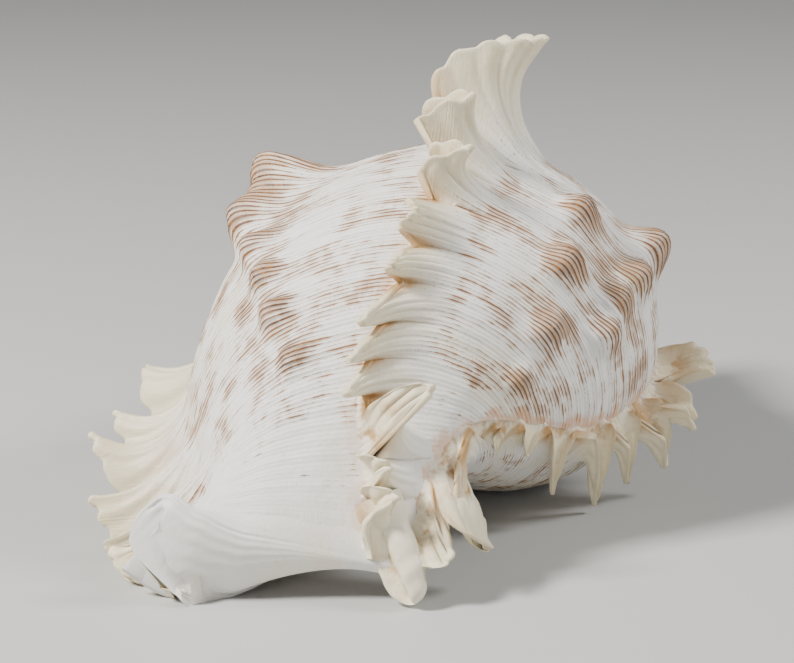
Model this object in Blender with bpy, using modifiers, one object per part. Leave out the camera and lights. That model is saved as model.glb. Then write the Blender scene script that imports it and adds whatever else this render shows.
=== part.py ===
"""Ramose murex shell (Chicoreus ramosus), lying on its aperture side.

The shell is one grown piece, so it is one closed solid. It is worked out as a growing
outline that turns round an axis: every whorl, cord, knob and varix follows from the
named values below. Lengths are millimetres until the last step, angles are degrees.

Two numbers place any point of the shell. The growth angle is 0 at the outer lip and
falls towards the apex. The outline fraction runs from 0 at the suture to 1 at the tip
of the siphonal canal. In the shell's own frame the axis is Y, the apex is at the
origin with +Y beyond it, and +Z is the back of the shell.
"""

import math

import bmesh
import bpy
import numpy as np

# Growth
LIP_ANGLE = 203.0          # direction of the outer lip round the axis, from +X towards +Z
WHORL_GROWTH = 1.66        # size ratio from one turn to the next
LAST_WHORL_START = -372.0
SPIRE_TURNS = 4.2
OUTLINE = [                # radius and place along the axis of the outline at the lip
    (25, -55), (33, -60), (42, -67.5), (49.5, -79), (52, -95), (48.5, -112),
    (39.5, -129), (28.5, -145), (20.5, -160), (14.5, -175)]
GIRTH = [                  # growth angle, radius factor of the last whorl
    (-2000, 1), (-460, 1), (-125, 1), (-95, 0.95), (-50, 0.945), (-20, 0.965), (20, 1), (40, 1)]

# Siphonal canal: growth angle and the shift of the canal's tip from a straight canal
CANAL_BEND = [
    (-460, 0, 0, 0), (-223, -4, 4, 0), (-178, -2, 5, -8), (-150, 6.5, 5.2, -18.5),
    (-122, 8, 6, -22), (-60, -6, 12, -10.5), (-28, -12, 17, 0.5), (0, -19.5, 22, 10.5),
    (13, -25, 21, 6), (26, -19, 23.5, 0), (40, -17, 23, -4)]
CANAL_FROM = 0.62          # outline fraction where the canal starts
CANAL_CURVE = 1.8

# Varices: outline fraction and growth angle of each one's front line
LIP_LINE = [(0, -6), (0.25, -4), (0.45, -4), (0.6, -4), (0.72, -1), (0.85, 12), (1, 26)]
MIDDLE_LINE = [
    (0, -128), (0.25, -116), (0.38, -117), (0.5, -117), (0.61, -117), (0.69, -113),
    (0.755, -107.5), (0.83, -105), (0.9, -106), (1, -104)]
LOWER_LINE = [
    (0, -222), (0.25, -217), (0.38, -216), (0.5, -215), (0.57, -214), (0.64, -209.5),
    (0.74, -193.5), (0.82, -170), (0.87, -151), (0.92, -135), (1, -118)]
VARIX_RIDGE = 2.0          # height of a varix between its fronds
VARIX_RAMP = 9.0           # length of the slope behind a varix
VARIX_FRONT = 2.5          # from the frond's foot to the front line
FROND_EDGE = 3.0           # thickness at a frond's edge
FROND_TAPER = 0.35         # how much narrower a frond is at its tip
FROND_FAN = 2.2            # how square a frond's tip is, unless its row says otherwise

# Fronds: outline fraction, half width, length, sweep back, depth of the sides, lean to the
# canal, and for the broad ones how square the tip is and how much deeper the canal side is
LIP_FRONDS = [
    (0.27, 8, 27, 10, 0.35, 0), (0.395, 7.5, 19, 21, 0.4, 0), (0.5, 8, 20.5, 28, 0.45, 0),
    (0.615, 8, 19.5, 10, 0.5, 0), (0.72, 7, 18.5, -4, 0.4, 2), (0.82, 6, 16.5, -8, 0.35, 3),
    (0.905, 5.5, 13, -13, 0.3, -1), (0.965, 4, 10, -16, 0.3, -4)]
MIDDLE_FRONDS = [
    (0.265, 10, 26, 31, 0.5, 0, 4.2), (0.38, 5, 16, 12, 0.5, 0), (0.45, 5, 12.5, 27, 0.45, 0, 3),
    (0.53, 5.5, 8.5, -8, 0.3, 3.2, 3), (0.605, 4.3, 7.2, -28, 0.1, 5, 3),
    (0.67, 3.6, 8.4, -44, 0, 6.5, 3), (0.725, 3.2, 8.2, -38, 0, 5, 3), (0.775, 3, 7.2, -35, 0, 4, 3),
    (0.87, 4.6, 15, 47, 0.4, -10.3, 3, 1), (0.917, 4.4, 9, 17, 0.4, -3.3, 3),
    (0.96, 4, 8.5, 25, 0.4, -5, 3)]
LOWER_FRONDS = [
    (0.27, 8, 15, -20, 0.35, 0), (0.37, 5, 12, 20, 0.35, -2), (0.44, 5, 18, 60, 0.3, -7),
    (0.505, 5, 19, 76, 0.3, -6), (0.575, 5.5, 20.5, 77, 0.3, -3.5), (0.65, 4.5, 15, 80, 0.3, 2),
    (0.71, 2.5, 5, 70, 0.3, 3), (0.76, 2.5, 5, 90, 0.3, 4), (0.80, 2.5, 6, 100, 0.3, 4),
    (0.872, 4.2, 13, -10, 0.2, 15), (0.94, 3.8, 6.5, 0, 0.2, 10.4)]
VARICES = [(LOWER_LINE, LOWER_FRONDS, -215), (MIDDLE_LINE, MIDDLE_FRONDS, -118), (LIP_LINE, LIP_FRONDS, 0)]

# Knobs between the varices: growth angle, outline fraction, height
KNOBS = [
    (-67, 0.29, 11.5), (-62, 0.375, 7.5), (-67, 0.465, 4.5), (-71, 0.545, 3.5), (-74, 0.63, 3),
    (-79, 0.72, 2), (-153, 0.365, 4), (-158, 0.487, 4), (-168, 0.60, 3), (-175, 0.70, 2),
    (-176, 0.265, 7), (-177, 0.37, 4.5), (-177, 0.45, 3.5), (-182, 0.51, 3.5)]
SPIRE_VARIX_STEP = 120.0   # turn between the low varices of the spire
SPIRE_SPINE = 13.0         # spine height on the spire, scaled with the whorl

# Ventral face: outline fraction, angle past the lip, radius, place along the axis
CALLUS_EDGE = [
    (0, 36, 30, -50), (0.2, 42, 31.5, -64), (0.4, 44, 26, -80), (0.6, 50, 17, -100),
    (0.75, 56, 12, -120), (0.88, 28, 18, -140), (1, 10, 28, -154)]
MOUTH_MIDDLE = (0.36, 0.43)     # outline fraction and share of the way from lip to callus
MOUTH_HALF = (0.27, 0.29)       # half length and half width in the same measures
MOUTH_TURN = 80.0               # how far the hollow follows the whorl
SLIT_HALF = 0.045               # half width of the canal's slit in the same measures
SLIT_DEPTH = 4.0

# Floor under the canal, with the high side wall that ends it, and the end of the older canal
FLOOR_START, WALL_START, WALL_END = -224.0, -108.0, 0.0
FLOOR_CALLUS_FROM = 0.62        # callus outline fraction beside the floor's start
FLOOR_OVERLAP = (-3.0, 0.0, 1.8)   # how far the floor reaches past the callus edge, inside it
FLOOR_TUCK = 0.94               # outline fraction where the floor's top meets the body
WALL_HEIGHT = (2.5, 15.0)
WALL_BULGE = 2.4
CANAL_HEART = (-6.0, -141.0, -13.0)     # a point deep inside the last canal
OLD_CANAL_FROM = (-112.0, 0.93)
OLD_CANAL_TIP = (14.0, -146.0, -15.5)
OLD_CANAL_HALF = (4.8, 3.2)

# Pose: the axis rises towards the apex, and the apex stands here over the table
AXIS_TILT = 13.0
APEX_AT = (10.0, 77.95, 49.0)

# Mesh
OUTLINE_STEPS = 88
RAMP_STEPS = 7
FRONT_STEPS = 6
STEPS_PER_QUARTER = 14
VOXEL = 0.0009
TRIANGLES = 9400
MM = 0.001

WHITE_SHELL = (0.86, 0.81, 0.72, 1.0)


def curve(points, x):
    """A smooth curve through rows of (place, value, ...), read at x."""
    table = np.array(points, float)
    place, value = table[:, 0], table[:, 1:]
    x = np.clip(np.asarray(x, float), place[0], place[-1])
    index = np.clip(np.searchsorted(place, x, side="right") - 1, 0, len(place) - 2)
    step = np.diff(place)
    slope = np.diff(value, axis=0) / step[:, None]
    tangent = np.vstack([slope[:1], (slope[:-1] + slope[1:]) / 2, slope[-1:]])
    t = ((x - place[index]) / step[index])[..., None]
    width = step[index][..., None]
    result = (2*t**3 - 3*t**2 + 1) * value[index] + (t**3 - 2*t**2 + t) * width * tangent[index]
    result += (3*t**2 - 2*t**3) * value[index + 1] + (t**3 - t**2) * width * tangent[index + 1]
    return result[..., 0] if result.shape[-1] == 1 else result


def ease(x, start, end):
    """0 before start, 1 after end, smooth between."""
    t = np.clip((x - start) / (end - start), 0, 1)
    return t * t * (3 - 2 * t)


def unit(vectors):
    return vectors / (np.linalg.norm(vectors, axis=-1, keepdims=True) + 1e-12)


def even_outline(samples=400):
    """The outline at the lip, resampled to even steps, and its length."""
    points = np.array(OUTLINE, float)
    chord = np.r_[0, np.cumsum(np.linalg.norm(np.diff(points, axis=0), axis=1))]
    fine = curve(np.column_stack([chord, points]), np.linspace(0, chord[-1], 4 * samples))
    length = np.r_[0, np.cumsum(np.linalg.norm(np.diff(fine, axis=0), axis=1))]
    even = np.linspace(0, length[-1], samples)
    return np.interp(even, length, fine[:, 0]), np.interp(even, length, fine[:, 1]), length[-1]


OUTLINE_RADIUS, OUTLINE_HEIGHT, OUTLINE_LENGTH = even_outline()
OUTLINE_FRACTION = np.linspace(0, 1, len(OUTLINE_RADIUS))


def whorl_scale(growth):
    return WHORL_GROWTH ** (growth / 360.0)


def around(angle, radius, height):
    """A point at an angle round the axis."""
    angle = np.radians(angle)
    return np.stack([radius * np.cos(angle), height, radius * np.sin(angle)], -1)


def surface(growth, fraction):
    """The bare shell surface without knobs or varices."""
    scale = whorl_scale(growth)
    radius = np.interp(fraction, OUTLINE_FRACTION, OUTLINE_RADIUS) * scale
    height = np.interp(fraction, OUTLINE_FRACTION, OUTLINE_HEIGHT) * scale
    waist = ease(fraction, 0, 0.2) * (1 - ease(fraction, 0.7, 1))
    radius = radius * (1 + (curve(GIRTH, growth) - 1) * waist)
    bend = (np.clip(fraction - CANAL_FROM, 0, None) / (1 - CANAL_FROM)) ** CANAL_CURVE
    return around(LIP_ANGLE + growth, radius, height) + curve(CANAL_BEND, growth) * bend[..., None]


def frame_at(growth, fraction):
    """Growth, outline and outward directions, and millimetres per degree of growth."""
    d_growth, d_fraction = 0.25, 0.004
    along = surface(growth + d_growth, fraction) - surface(growth - d_growth, fraction)
    down = surface(growth, np.minimum(fraction + d_fraction, 1))
    down = down - surface(growth, np.maximum(fraction - d_fraction, 0))
    speed = np.maximum(np.linalg.norm(along, axis=-1) / (2 * d_growth), 0.12)
    along = unit(along)
    down = unit(down - (down * along).sum(-1, keepdims=True) * along)
    return along, down, np.cross(along, down), speed


def knob_height(growth, fraction):
    """Knobs are long behind and steep in front."""
    height = np.zeros(np.broadcast(growth, fraction).shape)
    for angle, place, size in KNOBS:
        scale = whorl_scale(angle)
        across = (fraction - place) * OUTLINE_LENGTH * scale / (0.4 * size + 2.2)
        reach = np.interp(place, OUTLINE_FRACTION, OUTLINE_RADIUS) * scale * math.radians(1)
        ahead = (growth - angle) * reach
        spread = np.where(ahead > 0, 0.3 * size + 1.5, 0.4 * size + 3)
        height = height + size * np.exp(-across**2) * np.exp(-(ahead / spread) ** 2)
    return height


def body_row(growth, fraction):
    outward = frame_at(growth, fraction)[2]
    return surface(growth, fraction) + outward * knob_height(growth, fraction)[:, None]


def frond_edge(fronds, fraction, scale):
    """Where a varix edge stands: ahead of its foot, above it and along it, and its ramp."""
    place = fraction * OUTLINE_LENGTH * scale
    above = np.full_like(fraction, VARIX_RIDGE)
    ahead = np.zeros_like(fraction)
    sideways = np.zeros_like(fraction)
    share = np.zeros_like(fraction)
    ramp = np.full_like(fraction, VARIX_RAMP)
    for middle, half_width, length, sweep, side, lean, *shape in fronds:
        fan, skew = (*shape, *(FROND_FAN, 0)[len(shape):])
        across = (place - middle * OUTLINE_LENGTH * scale) / half_width
        inside = np.abs(across) < 1
        off = np.abs(across[inside])
        rise = (1 - off**fan) ** 0.8
        sweep = math.radians(sweep)
        side = side * (1 + 0.8 * skew * across[inside])
        above[inside] = VARIX_RIDGE * (1 - rise) + length * math.cos(sweep) * rise
        ahead[inside] = -math.sin(sweep) * length * rise**1.3 + side * length * 4 * off**2 * (1 - off**2)
        sideways[inside] = lean * rise - half_width * across[inside] * FROND_TAPER * np.sqrt(rise)
        ramp[inside] = VARIX_RAMP + 0.35 * length * rise
        share[inside] = rise
    fade = ease(fraction, 0, 0.1)
    return ahead * fade, above * fade, sideways * fade, ramp, share


def bezier(a, b, c, d, t):
    return (1-t)**3 * a + 3 * (1-t)**2 * t * b + 3 * (1-t) * t**2 * c + t**3 * d


def varix_rows(line, fronds, scale, fraction):
    """Rows up the ramp, over the edge and down the hollow front, with both end angles."""
    front = curve(line, fraction)
    speed = frame_at(front, fraction)[3]
    foot = front - VARIX_FRONT / speed
    ahead, above, sideways, ramp, share = frond_edge(fronds, fraction, scale)
    start = foot - np.minimum(ramp / speed, 60)
    along, down, outward, _ = frame_at(foot, fraction)
    base = surface(foot, fraction)
    zero = np.zeros_like(ramp)
    edge = np.stack([ahead, above, sideways], -1)
    thick = np.minimum(FROND_EDGE, 0.5 * above + 0.3)
    back_path = (
        np.stack([-ramp, zero, zero], -1),
        np.stack([-0.45 * ramp, zero, zero], -1),
        np.stack([
            0.4 * np.maximum(ahead, 0) + 0.05 * np.minimum(ahead, 0), 0.6 * above,
            0.4 * sideways], -1),
        edge)
    front_path = (
        edge + np.stack([thick, -0.15 * thick, zero], -1),
        back_path[2] + np.stack([thick + 0.5, zero, zero], -1),
        np.stack([1 - 0.3 * ramp * share, 0.1 * above, 0.1 * sideways], -1),
        np.stack([zero + VARIX_FRONT, zero - 0.4, zero], -1))
    brow = 0.5 * (edge + front_path[0]) + np.stack([zero, 0.35 * thick, zero], -1)

    def stand(local, lift):
        """From edge measures to the shell: bent over the surface low down, straight higher up."""
        growth = foot + np.clip(local[:, 0], -60, 60) / speed
        _, low_down, low_out, _ = frame_at(growth, fraction)
        low = surface(growth, fraction) + low_out * local[:, 1:2] + low_down * local[:, 2:3]
        high = base + along * local[:, 0:1] + outward * local[:, 1:2] + down * local[:, 2:3]
        return (1 - lift) * low + lift * high

    rows = [stand(bezier(*back_path, t), t**2) for t in np.linspace(0, 1, RAMP_STEPS + 1)[1:]]
    rows.append(stand(brow, 1.0))
    rows += [stand(bezier(*front_path, t), 1 - t) for t in np.linspace(0, 1, FRONT_STEPS + 1)]
    return rows, start, front


def last_whorl_rows(fraction):
    """Rows of the last whorl, from under the spire to the inner edge of the lip."""
    rows = []
    previous = np.full_like(fraction, LAST_WHORL_START)
    for line, fronds, middle in VARICES:
        varix, start, front = varix_rows(line, fronds, whorl_scale(middle), fraction)
        start = np.maximum(start, previous + 2)
        count = max(4, round(STEPS_PER_QUARTER * float(np.mean(start - previous)) / 90))
        rows += [body_row(previous + (start - previous) * k / count, fraction) for k in range(count + 1)]
        rows += varix
        previous = front
    return rows


def spire_rows(fraction):
    """Rows of the older whorls, with a low spine at the shoulder of each old varix."""
    rows = []
    growth = LAST_WHORL_START - 360 * SPIRE_TURNS
    while growth < LAST_WHORL_START - 1:
        angles = np.full_like(fraction, growth)
        turn = ((growth - LAST_WHORL_START + 25) % SPIRE_VARIX_STEP) / SPIRE_VARIX_STEP
        spine = SPIRE_SPINE * whorl_scale(growth) * math.exp(-((turn - 0.5) / 0.1) ** 2)
        height = spine * np.exp(-((fraction - 0.27) / 0.05) ** 2)
        rows.append(surface(angles, fraction) + frame_at(angles, fraction)[2] * height[:, None])
        growth += 18
    return rows


def closed_along_axis(row, heart_share=0.0):
    """A row of the outer surface and its way back along the axis and the heart of the canal."""
    count = len(row)
    way = np.linspace(0, 1, count)[:, None]
    near_tip = row[-1] * (0.3, 0.97, 0.3)
    in_canal = 0.45 * row[-1] + 0.55 * np.array(CANAL_HEART)
    near_tip = (1 - heart_share) * near_tip + heart_share * in_canal
    near_suture = row[0] * (0.25, 1.0, 0.25)
    return np.vstack([row, near_tip * (1 - way) + near_suture * way])


def callus_edge(fraction):
    angle, radius, height = curve(CALLUS_EDGE, fraction).T
    return around(LIP_ANGLE + angle, radius, height)


def mouth_rows(lip, fraction):
    """Ventral face from the lip to the callus, with the mouth and the canal's slit cut back."""
    callus = callus_edge(fraction)
    reach = (fraction - MOUTH_MIDDLE[0]) / MOUTH_HALF[0]
    mouth = MOUTH_HALF[1] * np.sqrt(np.clip(1 - reach**2, 0, None))
    half = np.maximum(mouth, SLIT_HALF * ease(fraction, 0.5, 0.66))
    half = np.maximum(half, 0.01)
    is_mouth = ease(mouth, 0.02, 0.16)
    outer = lip + (callus - lip) * (MOUTH_MIDDLE[1] - half)[:, None]
    inner = lip + (callus - lip) * (MOUTH_MIDDLE[1] + half)[:, None]
    centre = (outer + inner) / 2
    rows = [np.vstack([lip, callus[::-1]])]
    for depth in (0, 0.03, 0.1, 0.25, 0.45, 0.7, 1):
        turn = -depth * MOUTH_TURN * is_mouth
        sink = SLIT_DEPTH * min(1, 2 * depth) * (1 - is_mouth)
        sides = []
        for side in (outer, inner):
            point = centre + (side - centre) * (1 - 0.55 * depth)
            spin, scale = np.radians(turn), whorl_scale(turn)
            x = point[:, 0] * np.cos(spin) - point[:, 2] * np.sin(spin)
            z = point[:, 0] * np.sin(spin) + point[:, 2] * np.cos(spin)
            placed = np.stack([x, point[:, 1], z], -1) * scale[:, None]
            placed[:, 2] += sink
            sides.append(placed)
        rows.append(np.vstack([sides[0], sides[1][::-1]]))
    return rows


def canal_floor_rows():
    """Solid floor between the canal's right margin and the callus, ending in the side wall."""
    rows = []
    one = np.array([1.0])
    for share in np.linspace(0, 1, 24):
        growth = np.array([FLOOR_START + (WALL_END - FLOOR_START) * share])
        top = surface(growth, one)[0]
        along = unit(surface(growth + 3, one)[0] - surface(growth - 3, one)[0])
        down = np.array([0.0, -0.12, -1.0])
        down = unit(down - along * (down @ along))
        out = np.cross(along, down)
        wall = float(ease((growth[0] - WALL_START) / (WALL_END - WALL_START), 0, 0.75))
        height = WALL_HEIGHT[0] + WALL_HEIGHT[1] * wall
        bottom = top + down * height
        callus = callus_edge(np.array([FLOOR_CALLUS_FROM + (1 - FLOOR_CALLUS_FROM) * share]))[0]
        callus += FLOOR_OVERLAP
        inside = callus + (0, 0, 8)
        near_top = np.array([FLOOR_TUCK])
        tucked = surface(growth, near_top)[0] - 1.6 * frame_at(growth, near_top)[2][0]
        rows.append(np.array([
            tucked, top + 0.5 * out,
            top + down * height * 0.35 + out * WALL_BULGE * wall * 0.8,
            top + down * height * 0.75 + out * WALL_BULGE * wall,
            bottom, 0.5 * (bottom + callus) + (0, 0, 3.5 * (1 - wall)), callus, inside]))
    return rows


def old_canal_rows():
    """The end of the middle varix's canal, left standing beside the new one."""
    start = surface(np.array([OLD_CANAL_FROM[0]]), np.array([OLD_CANAL_FROM[1]]))[0]
    tip = np.array(OLD_CANAL_TIP)
    along = unit(tip - start)
    side = unit(np.cross(along, np.array([0, 1.0, 0.2])))
    up = unit(np.cross(side, along))
    turn = np.linspace(0, 2 * math.pi, 16, endpoint=False)[:, None]
    rows = []
    for share in np.linspace(0, 1, 8):
        narrow = 1 - 0.45 * float(ease(share, 0.75, 1))
        ring = side * np.cos(turn) * OLD_CANAL_HALF[0] + up * np.sin(turn) * OLD_CANAL_HALF[1]
        rows.append(start + (tip - start) * share + ring * narrow)
    return rows


def add_loft(mesh, rows, ladder_end=False):
    """Join closed rows by quads. The last row is closed as a ladder of its two halves."""
    rings = [[mesh.verts.new(point) for point in row] for row in rows]
    count = len(rings[0])
    for low, high in zip(rings[:-1], rings[1:]):
        for k in range(count):
            after = (k + 1) % count
            mesh.faces.new((low[k], high[k], high[after], low[after]))
    mesh.faces.new(rings[0])
    if ladder_end:
        last = rings[-1]
        for k in range(count // 2 - 1):
            mesh.faces.new((last[k + 1], last[k], last[count - 1 - k], last[count - 2 - k]))
    else:
        mesh.faces.new(rings[-1][::-1])


def evaluated_mesh(shape):
    """The object's mesh with its modifiers applied."""
    graph = bpy.context.evaluated_depsgraph_get()
    return bpy.data.meshes.new_from_object(shape.evaluated_get(graph))


def apply_modifiers(shape):
    mesh = evaluated_mesh(shape)
    shape.modifiers.clear()
    shape.data = mesh


def keep_largest_body(shape):
    """Drop crumbs that the remesh leaves beside thin edges."""
    mesh = bmesh.new()
    mesh.from_mesh(shape.data)
    unseen = set(mesh.verts)
    bodies = []
    while unseen:
        seed = unseen.pop()
        body, waiting = [seed], [seed]
        while waiting:
            for link in waiting.pop().link_edges:
                for vert in link.verts:
                    if vert in unseen:
                        unseen.discard(vert)
                        body.append(vert)
                        waiting.append(vert)
        bodies.append(body)
    bodies.sort(key=len)
    crumbs = [vert for body in bodies[:-1] for vert in body]
    bmesh.ops.delete(mesh, geom=crumbs, context="VERTS")
    mesh.to_mesh(shape.data)
    mesh.free()


def stand_on_table(shape):
    """Tilt the axis, set the shell over the origin and cut the small flats it rests on."""
    tilt = math.radians(AXIS_TILT)
    mesh = bmesh.new()
    mesh.from_mesh(shape.data)
    for vert in mesh.verts:
        x, y, z = vert.co
        vert.co = (
            x + APEX_AT[0] * MM,
            y * math.cos(tilt) - z * math.sin(tilt) + APEX_AT[1] * MM,
            y * math.sin(tilt) + z * math.cos(tilt) + APEX_AT[2] * MM)
    everything = mesh.verts[:] + mesh.edges[:] + mesh.faces[:]
    bmesh.ops.bisect_plane(
        mesh, geom=everything, plane_co=(0, 0, 0), plane_no=(0, 0, -1), clear_outer=True)
    rim = [edge for edge in mesh.edges if edge.is_boundary]
    bmesh.ops.holes_fill(mesh, edges=rim, sides=0)
    bmesh.ops.triangulate(mesh, faces=mesh.faces[:])
    bmesh.ops.recalc_face_normals(mesh, faces=mesh.faces[:])
    mesh.to_mesh(shape.data)
    mesh.free()


def shell_material():
    material = bpy.data.materials.new("white_shell")
    material.use_nodes = True
    shader = material.node_tree.nodes["Principled BSDF"]
    shader.inputs["Base Color"].default_value = WHITE_SHELL
    shader.inputs["Roughness"].default_value = 0.5
    shader.inputs["Metallic"].default_value = 0.0
    return material


def build_shell(collection):
    fraction = np.linspace(0, 1, OUTLINE_STEPS)
    whorl = last_whorl_rows(fraction)
    heart_share = np.minimum(1, 4 * np.arange(len(whorl)) / len(whorl))
    tube = [closed_along_axis(row) for row in spire_rows(fraction)]
    tube += [closed_along_axis(row, share) for row, share in zip(whorl[:-1], heart_share)]
    tube += mouth_rows(whorl[-1], fraction)
    mesh = bmesh.new()
    add_loft(mesh, [row * MM for row in tube], ladder_end=True)
    add_loft(mesh, [row * MM for row in canal_floor_rows()])
    add_loft(mesh, [row * MM for row in old_canal_rows()])
    data = bpy.data.meshes.new("shell")
    mesh.to_mesh(data)
    mesh.free()
    shape = bpy.data.objects.new("shell", data)
    collection.objects.link(shape)
    fuse = shape.modifiers.new("fuse", "REMESH")
    fuse.mode = "VOXEL"
    fuse.voxel_size = VOXEL
    apply_modifiers(shape)
    keep_largest_body(shape)
    thin = shape.modifiers.new("thin", "DECIMATE")
    thin.ratio = TRIANGLES / sum(len(face.vertices) - 2 for face in shape.data.polygons)
    apply_modifiers(shape)
    stand_on_table(shape)
    shape.data.materials.clear()
    shape.data.materials.append(shell_material())
    shape.data.shade_smooth()
    shape.data.set_sharp_from_angle(angle=math.radians(50))
    return shape


def main():
    for item in list(bpy.data.objects):
        bpy.data.objects.remove(item, do_unlink=True)
    collection = bpy.data.collections.new("ramose_murex")
    bpy.context.scene.collection.children.link(collection)
    build_shell(collection)


main()
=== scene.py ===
"""Looks of the ramose murex shell: a fine shell surface, its colours, the floor, light and camera.

The fine surface follows the same growth as the solid: an outline turns round an axis and
grows, and three varices with fronds cross the last whorl. Two numbers place any point. The
growth angle is 0 at the outer lip and falls towards the apex. The outline fraction runs
from 0 at the suture to 1 at the tip of the siphonal canal. Lengths are millimetres in the
shell's own frame, with the axis along Y and the apex at the origin, until the last step.
"""
import math

import bpy
import numpy as np
from mathutils import Matrix, Vector


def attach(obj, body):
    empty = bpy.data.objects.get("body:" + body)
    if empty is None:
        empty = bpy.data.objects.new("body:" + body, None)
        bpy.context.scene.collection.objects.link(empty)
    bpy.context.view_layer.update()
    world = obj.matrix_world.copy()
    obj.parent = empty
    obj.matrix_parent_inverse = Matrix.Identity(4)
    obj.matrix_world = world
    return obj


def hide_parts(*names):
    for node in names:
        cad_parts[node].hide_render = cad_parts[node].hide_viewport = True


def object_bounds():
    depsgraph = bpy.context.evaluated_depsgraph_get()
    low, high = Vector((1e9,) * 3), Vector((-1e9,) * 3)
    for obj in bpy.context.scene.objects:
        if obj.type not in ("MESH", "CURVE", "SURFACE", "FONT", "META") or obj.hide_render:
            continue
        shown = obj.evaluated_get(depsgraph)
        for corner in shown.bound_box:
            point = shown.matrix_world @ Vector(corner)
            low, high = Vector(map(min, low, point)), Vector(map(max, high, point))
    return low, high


# Growth
LIP_ANGLE = 203.0
WHORL_GROWTH = 1.66
LAST_WHORL_START = -372.0
SPIRE_TURNS = 6.2
OUTLINE = [
    (25, -55), (33, -60), (42, -67.5), (49.5, -79), (52, -95), (48.5, -112),
    (39.5, -129), (28.5, -145), (20.5, -160), (14.5, -175)]
GIRTH = [
    (-2000, 1), (-460, 1), (-125, 1), (-95, 0.95), (-50, 0.945), (-20, 0.965), (20, 1), (40, 1)]

# Siphonal canal
CANAL_BEND = [
    (-460, 0, 0, 0), (-223, -4, 4, 0), (-178, -2, 5, -8), (-150, 6.5, 5.2, -18.5),
    (-122, 8, 6, -22), (-60, -6, 12, -10.5),
    (-28, -12, 17, 0.5), (0, -19.5, 22, 10.5), (13, -25, 21, 6), (26, -19, 23.5, 0),
    (40, -17, 23, -4)]
CANAL_FROM = 0.62
CANAL_CURVE = 1.8

# Varices: outline fraction and growth angle of each one's front line
LIP_LINE = [(0, -6), (0.25, -4), (0.45, -4), (0.6, -4), (0.72, -1), (0.85, 12), (1, 26)]
MIDDLE_LINE = [
    (0, -128), (0.25, -116), (0.38, -117), (0.5, -117), (0.61, -117), (0.69, -113),
    (0.755, -107.5), (0.83, -105), (0.9, -106), (1, -104)]
LOWER_LINE = [
    (0, -222), (0.25, -217), (0.38, -216), (0.5, -215), (0.57, -214), (0.64, -209.5),
    (0.74, -193.5), (0.82, -170), (0.87, -151), (0.92, -135), (1, -118)]
VARIX_RIDGE = 1.2
VARIX_RAMP = 9.0
VARIX_FRONT = 2.5
FROND_EDGE = 1.5
FROND_TAPER = 0.35
FROND_FAN = 2.2

# Fronds: outline fraction, half width, length, sweep back, depth of the sides, lean to the
# canal, and for the broad ones how square the tip is and how much deeper the canal side is
LIP_FRONDS = [
    (0.27, 8, 27, 10, 0.35, 0), (0.395, 7.5, 19, 21, 0.4, 0), (0.5, 8, 20.5, 28, 0.45, 0),
    (0.615, 8, 19.5, 10, 0.5, 0), (0.72, 7, 18.5, -4, 0.4, 2), (0.82, 6, 16.5, -8, 0.35, 3),
    (0.905, 5.5, 13, -13, 0.3, -1), (0.965, 4, 10, -16, 0.3, -4)]
MIDDLE_FRONDS = [
    (0.265, 10, 26, 31, 0.5, 0, 3.2), (0.38, 5, 16, 12, 0.5, 0), (0.45, 5, 12.5, 27, 0.45, 0, 3),
    (0.53, 5.5, 8.5, -8, 0.3, 3.2, 2.4), (0.605, 4.3, 7.6, -24, 0.1, 4.5), (0.67, 3.7, 8.4, -40, 0, 6),
    (0.725, 3.3, 8.2, -36, 0, 4.8), (0.775, 3, 7.2, -33, 0, 4),
    (0.87, 4.4, 15, 47, 0.1, -10.3, 2.2), (0.917, 4.4, 9, 17, 0.4, -3.3, 3), (0.96, 4, 8.5, 25, 0.4, -5, 3)]
LOWER_FRONDS = [
    (0.27, 7, 12.5, -16, 0.35, 0), (0.37, 4.5, 12, 20, 0.4, -2), (0.44, 4.4, 17.5, 60, 0.4, -7),
    (0.505, 4.4, 18.5, 76, 0.4, -6), (0.575, 4.8, 20, 77, 0.4, -3.5), (0.65, 4, 15, 80, 0.4, 2),
    (0.71, 2.5, 5, 70, 0.3, 3), (0.76, 2.5, 5, 90, 0.3, 4), (0.80, 2.5, 6, 100, 0.3, 4),
    (0.872, 4.2, 13, -10, 0.2, 15), (0.94, 3.8, 6.5, 0, 0.2, 10.4)]

# Knobs between the varices: growth angle, outline fraction, height
KNOBS = [
    (-67, 0.29, 11.5), (-62, 0.375, 7.5), (-67, 0.465, 4.5), (-71, 0.545, 3.5), (-74, 0.63, 3),
    (-79, 0.72, 2), (-153, 0.365, 4), (-158, 0.487, 4), (-168, 0.60, 3), (-175, 0.70, 2),
    (-176, 0.265, 7), (-177, 0.37, 4.5), (-177, 0.45, 3.5), (-182, 0.51, 3.5)]
SPIRE_VARIX_STEP = 120.0
SPIRE_SPINE = 13.0

# Ventral face
CALLUS_EDGE = [
    (0, 36, 30, -50), (0.2, 42, 31.5, -64), (0.4, 44, 26, -80), (0.6, 50, 17, -100),
    (0.75, 56, 12, -120), (0.88, 28, 18, -140), (1, 10, 28, -154)]
MOUTH_MIDDLE = (0.36, 0.43)
MOUTH_HALF = (0.27, 0.29)
MOUTH_TURN = 80.0
SLIT_HALF = 0.045
SLIT_DEPTH = 4.0

# Canal floor, its side wall and the end of the older canal
FLOOR_START, WALL_START, WALL_END = -224.0, -108.0, 0.0
FLOOR_CALLUS_FROM = 0.62
WALL_HEIGHT = (2.5, 15.0)
WALL_BULGE = 2.4
ROLL_FROM = 0.955
BLUNT_CROWN = 1.4
OLD_CANAL_FROM = (-112.0, 0.93)
OLD_CANAL_TIP = (14.0, -146.0, -15.5)
OLD_CANAL_HALF = (4.8, 3.2)
GROOVE_SIDE = 4.45

# Pose
AXIS_TILT = 13.0
APEX_AT = (10.0, 77.95, 49.0)
MM = 0.001
TIP_ROOM = 1.5             # tips within this of the solid's box bend inward, so none stands out

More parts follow.
